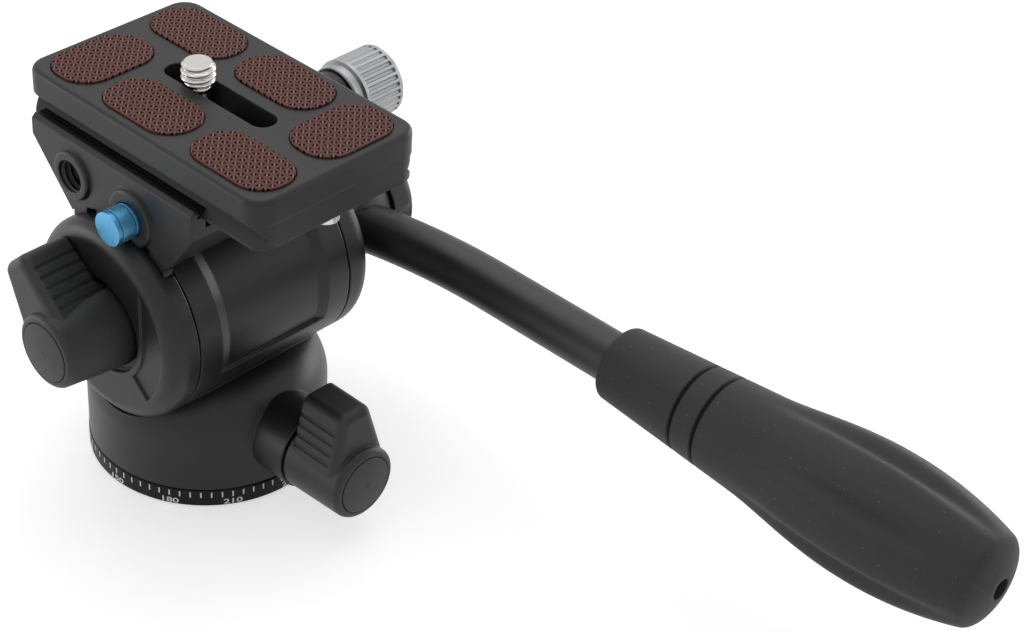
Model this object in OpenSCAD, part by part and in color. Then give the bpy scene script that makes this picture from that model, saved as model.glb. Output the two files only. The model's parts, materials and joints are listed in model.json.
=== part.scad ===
// Fluid video head: pan base, tilt yoke, screw clamp with a dovetail plate, and a pan handle.
// Millimetres. The origin is the middle of the tripod face, +Z is up, +Y points at the subject
// and +X is the operator's right.

/* [Base] */
// Diameter of the degree ring
base_d = 46.4; // [46:0.2:52]
// Height of the degree ring
ring_h = 3.8; // [3.4:0.1:4.4]
// Diameter of the tripod thread
tripod_thread_d = 9.525; // [6.35:3.175:9.525]

/* [Body] */
// Height of the tilt axis above the tripod face
tilt_z = 38.2; // [38:0.2:44]
// Diameter of the drum and of the two tilt arms
drum_d = 40; // [38:0.5:41]
// Distance between the middles of the two seams
drum_w = 36.6; // [34:0.2:38]
// Thickness of a tilt arm
arm_t = 6; // [5:0.5:8]
// Diameter of the tilt axle
axle_d = 10; // [8:0.5:11]
// Radius of the housing's round shoulder
shoulder_r = 9.5; // [6:0.5:10]
// Height of the pan knob's axis above the tripod face
pan_knob_z = 13.1; // [13:0.1:14]

/* [Clamp] */
// Length of the clamp along the plate
clamp_l = 43.7; // [40:0.5:50]
// Height of the plate's seat above the drum
clamp_h = 10.8; // [10.5:0.1:14]
// Height of the jaws above the seat
jaw_h = 1.6; // [1.4:0.1:1.7]
// Travel of the moving jaw
jaw_open = 3.5; // [2:0.5:4]
// Diameter of the clamp knob
clamp_knob_d = 13.8; // [12:0.2:16]
// Diameter of the safety button
button_d = 6.5; // [6:0.1:6.8]
// Travel of the safety button
button_travel = 3.6; // [3.6:0.1:4]

/* [Plate] */
// Length of the plate
plate_l = 62.8; // [60:0.2:80]
// Width of the plate
plate_w = 38.4; // [37.6:0.2:40]
// Height of the plate
plate_t = 9.9; // [9:0.1:11]
// Place of the plate's middle along the clamp
plate_y = -5; // [-6:0.2:4]
// Corner radius of the plate
plate_corner = 4.2; // [3:0.2:6]
// Diameter of the camera screw
camera_thread_d = 6.35; // [6:0.05:6.4]

/* [Knobs] */
// Length of the two lock knobs
knob_l = 14.4; // [12:0.2:18]
// Radius of a lock knob's round middle at its outer end
knob_hub_r = 7.3; // [7.2:0.1:8]
// Reach of the tilt knob's wing from its axis
tilt_knob_reach = 17.4; // [15:0.2:20]
// Reach of the pan knob's wing from its axis
pan_knob_reach = 15.2; // [14:0.2:17]
// Lean of the tilt knob's wing, forward of upright
tilt_knob_lean = 43; // [0:1:80]

/* [Handle] */
// Diameter of the handle tube
tube_d = 9.8; // [9:0.1:11]
// Outward angle at which the tube leaves the head
tube_angle = 15.3; // [8:0.1:18]
// Radius of the tube's bend
tube_bend_r = 128; // [110:1:160]
// Distance from the tilt axis back to the grip
grip_y = 71.4; // [65:0.2:90]
// Length of the grip
grip_l = 82.9; // [80:0.1:100]
// Largest diameter of the grip
grip_d = 24.6; // [23:0.2:27]

/* [Hidden] */
// Every piece of the head, in the order of assembly
$fn = 64;

// Colours
black = [0.10, 0.10, 0.11];
grey = [0.26, 0.26, 0.27];
steel = [0.72, 0.73, 0.75];
brass = [0.78, 0.62, 0.30];
maroon = [0.43, 0.26, 0.24];
blue = [0.25, 0.58, 0.80];

// Clearances: between pieces that pass each other, of a running fit, and of a seat
gap = 0.3;
fit = 0.03;
seat = 0.02;
// Overlap that keeps a cut clear of a face
over = 1;

// Base and pan bearing
base_r = base_d/2;
plate_ring_w = 2.6;
foot_r = base_r - plate_ring_w;
bush_r = 6.5;
bush_h = 9.4;
flange_r = 13.5;
flange_top = ring_h + 2.2;
post_r = 8;
shelf_z = flange_top + 2.4;
post_top = pan_knob_z + 4.7;
thread_r = 6;
nut_h = 3.4;
nut_r = 9;
base_screw_count = 3;
base_screw_place = 10.2;
base_screw_r = 1.25;

// Housing and drum
drum_r = drum_d/2;
drum_half = drum_w/2 - 0.2;
arm_in = drum_w/2 + 0.2;
arm_out = arm_in + arm_t;
arm_round = 3.6;
pot_r = base_r - 0.1;
pot_z = ring_h + gap;
neck_drop = 14;
pot_top = tilt_z - neck_drop;
drag_r = pot_r - 4.5;
boss_r = 8;
boss_end = pot_r + 6.5;
chamber_r = drum_r - 5;
chamber_x = drum_half - 4.6;
axle_r = axle_d/2;
sleeve_r = axle_r + 1.5;
rotor_wall = 3;
rotor_play = 3.5;
vane_t = 2;
vane_step = 6.5;
vane_play = 1;
panel_depth = 0.7;
panel_floor = drum_half - 7.2;
panel_edge = drum_half - 5;
panel_low = 20.4;
panel_high = 80;

// Pan lock
shoe_r = 4;
shoe_back = 14;
stud_r = 3;
groove_depth = 0.8;
nose_r = 1.9;

// Clamp
seat_z = tilt_z + drum_r + clamp_h;
jaw_top = seat_z + jaw_h;
jaw_wall = 1.3;
side_x = max(plate_w/2 + jaw_wall, arm_in + 2);
clamp_y = 1;
clamp_front = clamp_y + clamp_l/2;
clamp_rear = clamp_y - clamp_l/2;
front_slant_z = seat_z - 2.4;
rear_slant_z = seat_z - 4.2;
foot_w = 3.8;
foot_front = clamp_front - 12.9;
foot_rear = clamp_rear + 9.65;
foot_low = tilt_z + drum_r - 11.4;
foot_top = tilt_z + drum_r + 1.4;
knee_z = tilt_z + drum_r - 3.6;
rear_knee_y = clamp_rear + 5.3;
rear_knee_z = tilt_z + drum_r - 1;
arch_r = drum_r + 1;
foot_screw_r = 1;
foot_screw_head_r = 1.6;
foot_screw_head_h = 1.4;
foot_screw_z = foot_low + 3;
jaw_chamfer = 0.8;
ledge_z = seat_z - 7.4;
bed_x = plate_w/2 - 4.4;
channel_w = 6.8;
channel_depth = 3.4;
relief_w = 2.8;
relief_depth = 2.4;
relief_x = plate_w/2 - 1.9;
screw_y = -3;
screw_z = seat_z - 3.6;
screw_r = 2.5;
screw_tip = bed_x - jaw_open - 3.4;
pin_r = 1.5;
pin_span = 30;
pin_tip = bed_x - 5.8;
pin_cover = 4;
jaw_outer = side_x + 6;
jaw_barrel_r = 60;
hole_y = clamp_front - 11.35;
hole_z = seat_z - 6;
hole_r = camera_thread_d/2;
hole_boss_r = 4.8;
hole_depth = 8.8;
boss_rise = 0.8;
boss_round = 0.6;
button_y = -4.6;
button_r = button_d/2;
button_z = tilt_z + drum_r + button_r + gap;
button_out = 5.4;
button_boss_r = 5.6;
button_room = 14;
stem_r = 2.2;
spring_r = button_r - 0.5;
catch_half = 1;
catch_w = 3.6;
catch_pin_r = 1.2;
knob_face = jaw_outer + 3.5;
knob_end = knob_face + 12;
knob_wall = 2;
knob_edge = 0.8;
collar_l = 1.8;
collar_edge = 0.3;
flutes = 30;
flute_r = 0.45;
flute_start = 2.9;
flute_stop = 1.5;

// Plate, measured from its own bottom
plate_z = seat_z + 0.1;
web_z = 0.5*plate_t;
dove_half = plate_w/2 - 0.2;
dove_lip = 0.5;
dove_in = 1.3;
dove_gap = 0.15;
seam_line = 0.4;
edge_round = 1.1;
slot_w = 5.2;
slot_end = 13.8;
head_room_r = 6.3;
web_under = web_z + 0.2;
pocket_depth = 0.6;
pad_rise = 0.3;
neck_r = slot_w/2 - gap;
screw_height = 4.2;
camera_screw_y = 0.8;
stop_place = plate_l/2 - 4;
stop_r = 2.5;
stop_drop = 2.4;
stop_thread_r = 1.5;
stop_thread_l = 5;
stop_hex_r = 1.2;
pad_end_w = 19.4;
pad_end_l = 12.7;
pad_side_w = 11.8;
pad_side_l = 21;
pad_corner = 5.7;
pad_margin = 1.9;
pad_gap = 1.8;

// Lock knobs
tilt_base_r = knob_hub_r + 1.3;
pan_base_r = knob_hub_r + 0.3;
hub_soft = 1.2;
cap_rise = 0.5;
knob_cap_r = 5.7;
knob_cap_t = 1.6;
wing_root = knob_hub_r;
wing_tip = 4.1;
wing_soft = 2;
wing_low = 1.2;
wing_set_back = 1.4;
wing_slope = 1.4;
rib_r = 0.36;
rib_step = 2.1;
rib_first = 3.4;
rib_l = knob_l - wing_set_back - 2*wing_slope;
tilt_ribs = 5;
pan_ribs = 4;
knob_nut_r = 5.4;
knob_nut_l = 9.2;
knob_socket = knob_nut_l + 0.4;
tilt_stud_r = 3.5;
face_recess = 1.2;
knob_gap = 0.4;
tilt_knob_x = arm_out - face_recess + knob_gap;
pan_knob_y = boss_end + knob_gap;

// Handle
arm_boss = 0.5;
hub_x0 = arm_out + arm_boss + gap;
hub_w = 13.1;
hub_x = hub_x0 + tube_d/2 + gap;
hub_r = 9.4;
bolt_r = 4;
bolt_reach = 13;
tube_r = tube_d/2;
tube_wall = 1.2;
tube_start = 6.2;
bend_from = [hub_x, 0] + tube_start*[sin(tube_angle), -cos(tube_angle)];
bend_mid = bend_from - tube_bend_r*[cos(tube_angle), sin(tube_angle)];
tube_x = bend_mid[0] + tube_bend_r;
bend_end = bend_mid[1];
grip_end_wall = 15;
grip_bore = grip_l - grip_end_wall;
grip_r = grip_d/2;
grip_front_r = 7.2;
grip_edge = 0.8;
grip_cone_r = 10.2;
grip_cone_l = 41;
barrel_front_r = 83;
barrel_rear_r = 72;
barrel_back_l = 24.9;
barrel_peak = grip_l - barrel_back_l;
grip_dome_r = 18;
grip_groove_r = 0.7;
grip_grooves = [18.7, 24.1];
grip_hole_r = 2;
grip_hole_l = 7;
valley_r = 6;
valley_depth = 1.5;
valley_tilt = 1.6;
valley_turn = 22;
valley_count = 6;
handle_knob_r = 11.5;
handle_knob_x = hub_x0 + hub_w + gap;
handle_knob_w = 6.1;
handle_knob_round = 2.6;
notch_count = 8;
notch_r = 3;
notch_out = 2;

// Shapes used by several pieces

// Cylinder along X from x0 to x1
module xcyl(r, x0, x1, y, z) {
    translate([x0, y, z]) rotate([0, 90, 0]) cylinder(r = r, h = x1 - x0);
}

// Cylinder along Y from y0 to y1
module ycyl(r, y0, y1, x, z) {
    translate([x, y1, z]) rotate([90, 0, 0]) cylinder(r = r, h = y1 - y0);
}

// Ring about Z
module ring(r_out, r_in, z0, z1) {
    translate([0, 0, z0]) difference() {
        cylinder(r = r_out, h = z1 - z0);
        translate([0, 0, -over]) cylinder(r = r_in, h = z1 - z0 + 2*over);
    }
}

// Side outline, drawn as (Y, Z), given a width along X
module along_x(x0, x1) {
    translate([x0, 0, 0]) rotate([90, 0, 90]) linear_extrude(x1 - x0) children();
}

// Cross-section, drawn as (X, Z), given a length along Y
module along_y(y0, y1) {
    translate([0, y1, 0]) rotate([90, 0, 0]) linear_extrude(y1 - y0) children();
}

// Rectangle with round corners
module round_rect(w, l, r) {
    square([w - 2*r, l], center = true);
    square([w, l - 2*r], center = true);
    for (sx = [-1, 1], sy = [-1, 1]) translate([sx*(w/2 - r), sy*(l/2 - r)]) circle(r);
}

// Slot with round ends along Y
module slot_shape(w, half) {
    square([w, 2*half - w], center = true);
    for (s = [-1, 1]) translate([0, s*(half - w/2)]) circle(w/2);
}

// Half cross-section of a slab with a round upper edge
module edge_profile(a, h, f) {
    translate([-a, 0]) square([2*a, h - f]);
    translate([-a + f, 0]) square([2*(a - f), h]);
    for (s = [-1, 1]) translate([s*(a - f), h - f]) circle(f);
}

// Slab with round corners and a round upper edge
module round_slab(w, l, h, r, f) {
    translate([0, l/2 - r, 0]) rotate([90, 0, 0]) linear_extrude(l - 2*r) edge_profile(w/2, h, f);
    translate([r - w/2, 0, 0]) rotate([90, 0, 90]) linear_extrude(w - 2*r) edge_profile(l/2, h, f);
    for (sx = [-1, 1], sy = [-1, 1]) translate([sx*(w/2 - r), sy*(l/2 - r), 0]) rotate_extrude() {
        intersection() {
            edge_profile(r, h, f);
            square([r, h]);
        }
    }
}

// Wheel with a round outer edge: flat face at 0, round face at t
module disc(r, t, f) {
    rotate_extrude($fn = 96) {
        square([r, t - f]);
        square([r - f, t]);
        intersection() {
            square([r, t]);
            translate([r - f, t - f]) circle(f);
        }
    }
}

// Base pieces

module base_plate() color(black) difference() {
    cylinder(r = foot_r, h = ring_h, $fn = 96);
    translate([0, 0, -over]) cylinder(r = bush_r + seat, h = ring_h + 2*over);
    for_base_screws(seat);
    ring(foot_r - 2, foot_r - 3.5, -over, 0.5);
}

module scale_ring() color(black) rotate_extrude($fn = 96) {
    polygon([
        [foot_r + seat, 0.1], [base_r - 0.3, 0.1], [base_r, 0.4],
        [base_r, ring_h - 0.2], [base_r - 0.2, ring_h], [foot_r + seat, ring_h]
    ]);
}

module tripod_bush() color(brass) ring(bush_r, tripod_thread_d/2, 0, bush_h);

// Screws, or with play their holes
module for_base_screws(play) {
    turn = 360/base_screw_count;
    for (i = [1 : base_screw_count]) rotate(i*turn) translate([base_screw_place, 0, 0.2]) {
        cylinder(r = base_screw_r + play, h = flange_top - 0.4 + play);
        cylinder(r1 = 2*base_screw_r + play, r2 = base_screw_r + play, h = 1.5);
        if (play > 0) translate([0, 0, -over]) cylinder(r = 2*base_screw_r + play, h = over);
    }
}

module base_screws() color(steel) for_base_screws(0);

module pan_spindle() color(steel) difference() {
    union() {
        translate([0, 0, ring_h]) cylinder(r = flange_r, h = flange_top - ring_h);
        translate([0, 0, ring_h]) cylinder(r = post_r, h = post_top - ring_h);
        translate([0, 0, ring_h]) cylinder(r = thread_r, h = post_top + gap + nut_h + 0.5 - ring_h);
    }
    cylinder(r = bush_r + seat, h = bush_h + seat);
    for_base_screws(seat);
    ring(post_r + over, post_r - groove_depth, pan_knob_z - 2.1, pan_knob_z + 2.1);
}

module pan_nut() color(steel) translate([0, 0, post_top + gap]) difference() {
    cylinder(r = nut_r, h = nut_h, $fn = 6);
    translate([0, 0, -over]) cylinder(r = thread_r + seat, h = nut_h + 2*over);
}

// Pan pieces

module pot() {
    rotate_extrude($fn = 96) {
        translate([0, pot_z]) square([pot_r, pot_top - shoulder_r - pot_z]);
        translate([0, pot_z]) square([pot_r - shoulder_r, pot_top - pot_z]);
        intersection() {
            translate([pot_r - shoulder_r, pot_top - shoulder_r]) circle(shoulder_r);
            translate([0, pot_z]) square([pot_r, pot_top - pot_z]);
        }
    }
}

// Shallow panel with sloping ends, in the drum's rear and front
module drum_panels() {
    slope = (panel_edge - panel_floor)/panel_depth;
    proud = 0.7;
    wide = panel_edge + proud*slope;
    for (s = [0, 1]) mirror([0, s, 0]) intersection() {
        translate([0, 0, tilt_z]) rotate([0, 90, 0]) rotate_extrude($fn = 96) polygon([
            [drum_r - panel_depth, -panel_floor], [drum_r + proud, -wide],
            [drum_r + proud, wide], [drum_r - panel_depth, panel_floor]
        ]);
        along_x(-wide - over, wide + over) translate([0, tilt_z]) polygon([
            [0, 0], 2*drum_r*[-cos(panel_low), -sin(panel_low)],
            2*drum_r*[-1, 1], 2*drum_r*[-cos(panel_high), sin(panel_high)]
        ]);
    }
}

module pan_housing() color(black) difference() {
    union() {
        pot();
        xcyl(drum_r, -drum_half, drum_half, 0, tilt_z, $fn = 96);
        ycyl(boss_r, -boss_end, -pot_r/2, 0, pan_knob_z);
    }
    // Rooms in which the arms turn
    xcyl(drum_r + 0.6, -pot_r - over, -drum_half, 0, tilt_z);
    xcyl(drum_r + 0.6, drum_half, pot_r + over, 0, tilt_z);
    drum_panels();
    // Damper chamber and the seats of the axle's bushes
    xcyl(chamber_r, -chamber_x, drum_half + over, 0, tilt_z);
    xcyl(sleeve_r + seat, -drum_half - over, -chamber_x + over, 0, tilt_z);
    // Pan bearing, from below
    cylinder(r = drag_r, h = shelf_z);
    cylinder(r = post_r + fit, h = post_top + over);
    translate([0, 0, post_top]) cylinder(r = nut_r + 1.5, h = pot_top + over - post_top);
    // Brake shoe and stud
    ycyl(shoe_r + fit, -shoe_back - 2.5, 0, 0, pan_knob_z);
    ycyl(stud_r + fit, -boss_end - over, 0, 0, pan_knob_z);
}

module pan_washer() color(brass) ring(flange_r - 0.3, post_r + 0.2, flange_top + gap, shelf_z - seat);

module pan_drag_ring() color(steel) ring(drag_r - seat, flange_r + 0.7, ring_h + 0.5, shelf_z - seat);

module pan_brake_shoe() color(brass) {
    ycyl(shoe_r, -shoe_back, -post_r - gap, 0, pan_knob_z);
    ycyl(nose_r, -post_r - over, -post_r + groove_depth - 0.35, 0, pan_knob_z);
}

module drum_cover() color(grey) difference() {
    xcyl(chamber_r - seat, chamber_x, drum_half - 0.2, 0, tilt_z);
    xcyl(sleeve_r + seat, chamber_x - over, drum_half + over, 0, tilt_z);
}

module tilt_bushes() color(brass) for (s = [0, 1]) mirror([s, 0, 0]) difference() {
    xcyl(sleeve_r, chamber_x + 0.1, drum_half - 0.2, 0, tilt_z);
    xcyl(axle_r + fit, chamber_x - over, drum_half + over, 0, tilt_z);
}

// Lock knob: axis along +Z, wing along +X

// Round middle, with a soft outer edge
module knob_hub(base_r) {
    top = knob_l - cap_rise;
    rotate_extrude() {
        polygon([
            [0, 0], [base_r, 0], [knob_hub_r, top - hub_soft], [knob_hub_r - hub_soft, top], [0, top]
        ]);
        translate([knob_hub_r - hub_soft, top - hub_soft]) circle(hub_soft);
    }
}

// Wing that narrows to its tip, with its outer face sloping back
module knob_wing(reach) {
    root_top = knob_l - wing_set_back;
    hull() for (side = [-1, 1]) {
        for (post = [[0, wing_root, root_top], [reach - wing_soft, wing_tip, root_top - wing_slope]]) {
            translate([post[0], side*(post[1] - wing_soft), 0]) {
                translate([0, 0, wing_low]) cylinder(r = wing_soft, h = 1, $fn = 32);
                translate([0, 0, post[2] - wing_soft]) sphere(wing_soft, $fn = 32);
            }
        }
    }
}

// Grip ribs cut into both flanks of a knob's wing
module knob_ribs(reach, count) {
    for (side = [-1, 1], i = [0 : count - 1]) {
        along = reach - rib_first - i*rib_step;
        half = wing_root + (wing_tip - wing_root)*along/(reach - wing_soft);
        translate([along, side*(half + 0.1), 0]) cylinder(r = rib_r, h = rib_l, $fn = 16);
    }
}

module knob_outside(base_r, reach, ribs) difference() {
    union() {
        knob_hub(base_r);
        knob_wing(reach);
    }
    knob_ribs(reach, ribs);
    translate([0, 0, knob_l - knob_cap_t]) cylinder(r = knob_cap_r + 0.15, h = knob_cap_t + over);
}

// Domed cap that closes the knob's end
module knob_cap() {
    dome = 40;
    rotate_extrude() intersection() {
        translate([0, knob_l - knob_cap_t + seat]) square([knob_cap_r, knob_cap_t]);
        translate([0, knob_l - dome]) circle(dome, $fn = 256);
    }
}

// Places of the two lock knobs
module at_tilt_knob() {
    translate([-tilt_knob_x, 0, tilt_z]) rotate([-tilt_knob_lean, 0, 0]) rotate([0, -90, 0]) children();
}

module at_pan_knob() {
    translate([0, -pan_knob_y, pan_knob_z]) rotate([90, 0, 0]) rotate(90) children();
}

module pan_knob() color(black) at_pan_knob() difference() {
    knob_outside(pan_base_r, pan_knob_reach, pan_ribs);
    translate([0, 0, -over]) cylinder(r = stud_r + seat, h = knob_socket + over);
}

module pan_knob_cap() color(black) at_pan_knob() knob_cap();

module pan_stud() color(steel) {
    ycyl(stud_r, 0.1 - pan_knob_y - knob_socket, -shoe_back - gap, 0, pan_knob_z);
}

module tilt_knob() color(black) at_tilt_knob() difference() {
    knob_outside(tilt_base_r, tilt_knob_reach, tilt_ribs);
    translate([0, 0, -over]) cylinder(r = knob_nut_r + seat, h = knob_socket + over, $fn = 6);
    cylinder(r = tilt_stud_r + gap, h = knob_socket + 2*over);
}

module tilt_knob_cap() color(black) at_tilt_knob() knob_cap();

module tilt_knob_nut() color(brass) at_tilt_knob() difference() {
    translate([0, 0, 0.2]) cylinder(r = knob_nut_r, h = knob_nut_l, $fn = 6);
    translate([0, 0, -over]) cylinder(r = tilt_stud_r + fit, h = knob_nut_l + 3*over);
}

// Tilt arms

// Feet of the clamp, or with play the pockets they stand in, on the left side
module feet(play) {
    for (y = [foot_front, foot_rear]) {
        translate([-side_x - play, y - foot_w/2 - play, foot_low - play]) {
            cube([side_x + play - arm_in + play, foot_w + 2*play, foot_top - foot_low + 2*play]);
        }
    }
}

// Screws that hold the left feet, or with play their holes
module foot_screws(play) {
    for (y = [foot_front, foot_rear]) {
        xcyl(foot_screw_r + play, -arm_out + 1.5 - play, -arm_in, y, foot_screw_z);
        translate([-arm_in - foot_screw_head_h, y, foot_screw_z]) rotate([0, 90, 0]) {
            cylinder(r1 = foot_screw_r + play, r2 = foot_screw_head_r + play, h = foot_screw_head_h);
        }
    }
}

module arm_shape() difference() {
    translate([-arm_in, 0, tilt_z]) rotate([0, -90, 0]) disc(drum_r, arm_t, arm_round);
    xcyl(axle_r + seat, -arm_out - over, over - arm_in, 0, tilt_z);
    feet(0.05);
    foot_screws(seat);
}

// Sunk fan beside the tilt knob, from an upright end to a sloping one
module stop_window() {
    slope = 43;
    inner = 11;
    outer = drum_r - 3.8;
    depth = 0.4;
    upright = 0.3 - inner;
    along_x(-arm_out - over, depth - arm_out) translate([0, tilt_z]) intersection() {
        difference() {
            circle(outer);
            circle(inner);
        }
        polygon([
            [0, 0], [upright, 0], [upright, 2*drum_r],
            2*drum_r*[-1, 1], 3*drum_r*[-cos(slope), -sin(slope)]
        ]);
    }
}

module left_tilt_arm() color(black) difference() {
    arm_shape();
    xcyl(tilt_base_r + face_recess, -arm_out - over, face_recess - arm_out, 0, tilt_z);
    stop_window();
}

module right_tilt_arm() color(black) difference() {
    union() {
        mirror([1, 0, 0]) arm_shape();
        xcyl(hub_r + 1, arm_out - over, arm_out + arm_boss, 0, tilt_z);
    }
    xcyl(axle_r + seat, arm_out - 2*over, arm_out + over, 0, tilt_z);
}

module arm_screws() color(steel) for (s = [0, 1]) mirror([s, 0, 0]) foot_screws(0);

module tilt_axle() color(steel) difference() {
    union() {
        xcyl(axle_r, -arm_out + face_recess, arm_out + arm_boss - 0.2, 0, tilt_z);
        xcyl(tilt_stud_r, -tilt_knob_x - knob_socket - 0.2, -arm_in, 0, tilt_z);
    }
    xcyl(stud_r + fit, bolt_reach - over, arm_out + over, 0, tilt_z);
}

module damper_rotor() color(steel) difference() {
    union() {
        xcyl(axle_r + rotor_wall, rotor_play - chamber_x, chamber_x - rotor_play, 0, tilt_z);
        for (x = [-vane_step, 0, vane_step]) {
            xcyl(chamber_r - vane_play, x - vane_t/2, x + vane_t/2, 0, tilt_z);
        }
    }
    xcyl(axle_r + seat, -chamber_x, chamber_x, 0, tilt_z);
}

// Clamp

// Side outline of the clamp, as (Y, Z), with its underside at a given height
module clamp_side(low) difference() {
    polygon([
        [clamp_rear, jaw_top], [clamp_front, jaw_top], [clamp_front, front_slant_z],
        [foot_front + foot_w/2, knee_z], [foot_rear - foot_w/2, knee_z],
        [rear_knee_y, rear_knee_z], [clamp_rear, rear_slant_z]
    ]);
    translate([0, tilt_z]) circle(arch_r, $fn = 96);
    translate([clamp_rear, tilt_z]) square([clamp_l, low - tilt_z]);
}

// Round boss on the clamp's left side
module side_boss(r, y, z) {
    translate([over - side_x, y, z]) rotate([0, -90, 0]) disc(r, over + boss_rise, boss_round);
}

// Room of the plate's dovetail, the moving jaw and everything above, as (X, Z)
module plate_room() {
    wide = dove_half + dove_gap;
    lip = seat_z + 0.1 + dove_lip + dove_gap;
    polygon([
        [-wide, seat_z], [-wide, lip], [-wide + jaw_top + over - lip, jaw_top + over],
        [side_x + over, jaw_top + over], [side_x + over, ledge_z],
        [bed_x, ledge_z], [bed_x, seat_z]
    ]);
}

module clamp_body() color(black) difference() {
    union() {
        along_x(-arm_in, arm_in) clamp_side(rear_knee_z);
        for (s = [0, 1]) mirror([s, 0, 0]) along_x(arm_in, side_x) clamp_side(knee_z);
        for (s = [0, 1]) mirror([s, 0, 0]) feet(0);
        side_boss(hole_boss_r, hole_y, hole_z);
        // Boss of the button, down to just above the drum
        difference() {
            union() {
                side_boss(button_boss_r, button_y, button_z);
                xcyl(button_boss_r, -side_x, over - button_room, button_y, button_z);
            }
            xcyl(drum_r + 0.25, -side_x - 2*over, 0, 0, tilt_z, $fn = 96);
        }
    }
    along_y(clamp_rear - over, clamp_front + over) plate_room();
    // Chamfer along the fixed jaw
    along_y(clamp_rear - over, clamp_front + over) translate([-side_x, jaw_top]) polygon([
        [-over, -jaw_chamfer - over], [-over, over], [jaw_chamfer + over, over]
    ]);
    // Relief groove beside the fixed jaw
    translate([-relief_x, clamp_rear - over, seat_z - relief_depth]) {
        cube([relief_w, clamp_l + 2*over, relief_depth + over/2]);
    }
    // Channel for the plate's stop screws
    translate([-channel_w/2, clamp_rear - over, seat_z - channel_depth]) {
        cube([channel_w, clamp_l + 2*over, channel_depth + over]);
    }
    // Accessory thread
    xcyl(hole_r, -side_x - 2*over, -side_x - boss_rise + hole_depth, hole_y, hole_z);
    // Safety button, its stem and the slot of its catch
    xcyl(button_r + 0.15, -side_x - 2*over, -button_room, button_y, button_z);
    xcyl(stem_r + fit, -button_room - over, button_travel, button_y, button_z);
    translate([-catch_half - gap, button_y - catch_w/2 - gap, button_z - catch_w/2]) {
        cube([2*catch_half + button_travel + 2*gap, catch_w + 2*gap, seat_z - button_z + catch_w/2]);
    }
    // Clamp screw and guide pins
    xcyl(screw_r + fit, screw_tip - 0.4, bed_x + over, screw_y, screw_z);
    guide_pin_places() xcyl(pin_r + seat, pin_tip, bed_x + over, 0, screw_z);
    for (s = [0, 1]) mirror([s, 0, 0]) foot_screws(seat);
}

module guide_pin_places() {
    for (s = [-1, 1]) translate([0, clamp_y + s*pin_span/2, 0]) children();
}

module guide_pins() color(steel) guide_pin_places() {
    xcyl(pin_r, pin_tip, jaw_outer - pin_cover - 0.5, 0, screw_z);
}

// Cross-section of the moving jaw, as (X, Z)
module jaw_profile() {
    wide = dove_half + dove_gap;
    lip = seat_z + 0.1 + dove_lip + dove_gap;
    soft = 2.2;
    polygon([
        [bed_x + gap, ledge_z + gap], [bed_x + gap, seat_z - 0.2], [wide, seat_z - 0.2], [wide, lip],
        [wide + lip - jaw_top, jaw_top], [jaw_outer - soft, jaw_top], [jaw_outer, jaw_top - soft],
        [jaw_outer, ledge_z + gap + soft], [jaw_outer - soft, ledge_z + gap]
    ]);
}

module moving_jaw() color(black) difference() {
    intersection() {
        along_y(clamp_rear, clamp_front) jaw_profile();
        translate([jaw_outer - jaw_barrel_r, clamp_y, 0]) {
            cylinder(r = jaw_barrel_r, h = 2*jaw_top, $fn = 128);
        }
    }
    xcyl(screw_r + 0.1, bed_x, jaw_outer + over, screw_y, screw_z);
    xcyl(clamp_knob_d/2, jaw_outer - 0.3, jaw_outer + over, screw_y, screw_z);
    guide_pin_places() xcyl(pin_r + fit, bed_x, jaw_outer - pin_cover, 0, screw_z);
}

module clamp_washer() color(black) difference() {
    xcyl(clamp_knob_d/2 - 1.3, jaw_outer, knob_face - 0.2, screw_y, screw_z);
    xcyl(screw_r + seat, jaw_outer - over, knob_face + over, screw_y, screw_z);
}

// Fluted knob: axis along +Z, its inner face at 0
module fluted_knob(knob_r, length) difference() {
    neck = knob_r - 0.6;
    rotate_extrude() polygon([
        [0, 0], [neck - collar_edge, 0], [neck, collar_edge], [neck, collar_l], [knob_r, collar_l + 0.4],
        [knob_r, length - knob_edge], [knob_r - knob_edge, length], [0, length]
    ]);
    for (i = [1 : flutes]) rotate(i*360/flutes) translate([knob_r + 0.1, 0, flute_start]) {
        cylinder(r = flute_r, h = length - flute_start - flute_stop, $fn = 16);
    }
    translate([0, 0, -over]) cylinder(r = screw_r + seat, h = over + length - knob_wall);
}

module clamp_knob() color(steel) translate([knob_face, screw_y, screw_z]) rotate([0, 90, 0]) {
    fluted_knob(clamp_knob_d/2, knob_end - knob_face);
}

module clamp_screw() color(steel) xcyl(screw_r, screw_tip, knob_end - knob_wall - 0.2, screw_y, screw_z);

module safety_button() color(blue) difference() {
    union() {
        xcyl(button_r, -side_x - button_out, -side_x + 0.5, button_y, button_z);
        xcyl(stem_r, -side_x, -catch_half, button_y, button_z);
        xcyl(catch_pin_r, -catch_half - over, catch_half - 0.4, button_y, button_z);
    }
    // Room of the spring, and the two turned lines round the barrel
    difference() {
        xcyl(spring_r + 0.1, -side_x - button_travel, -side_x + 2*over, button_y, button_z);
        xcyl(stem_r, -side_x - 2*button_travel, 0, button_y, button_z);
    }
    for (x = [button_out - 0.9, 1.6]) difference() {
        xcyl(button_r + over, -side_x - x, -side_x - x + 0.3, button_y, button_z);
        xcyl(button_r - 0.2, -side_x - x - over, -side_x - x + over, button_y, button_z);
    }
}

module safety_catch() color(steel) difference() {
    translate([-catch_half, button_y - catch_w/2, button_z - catch_w/2 + gap]) {
        cube([2*catch_half, catch_w, seat_z - 0.7 - button_z + catch_w/2 - gap]);
    }
    xcyl(catch_pin_r + seat, -catch_half - over, catch_half - 0.4 + seat, button_y, button_z);
}

module button_spring() color(steel) difference() {
    xcyl(spring_r, -side_x + 0.15, -button_room - 0.05, button_y, button_z);
    xcyl(stem_r + 0.1, -side_x - over, over - button_room, button_y, button_z);
}

// Plate

module at_plate() translate([0, plate_y, plate_z]) children();

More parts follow.
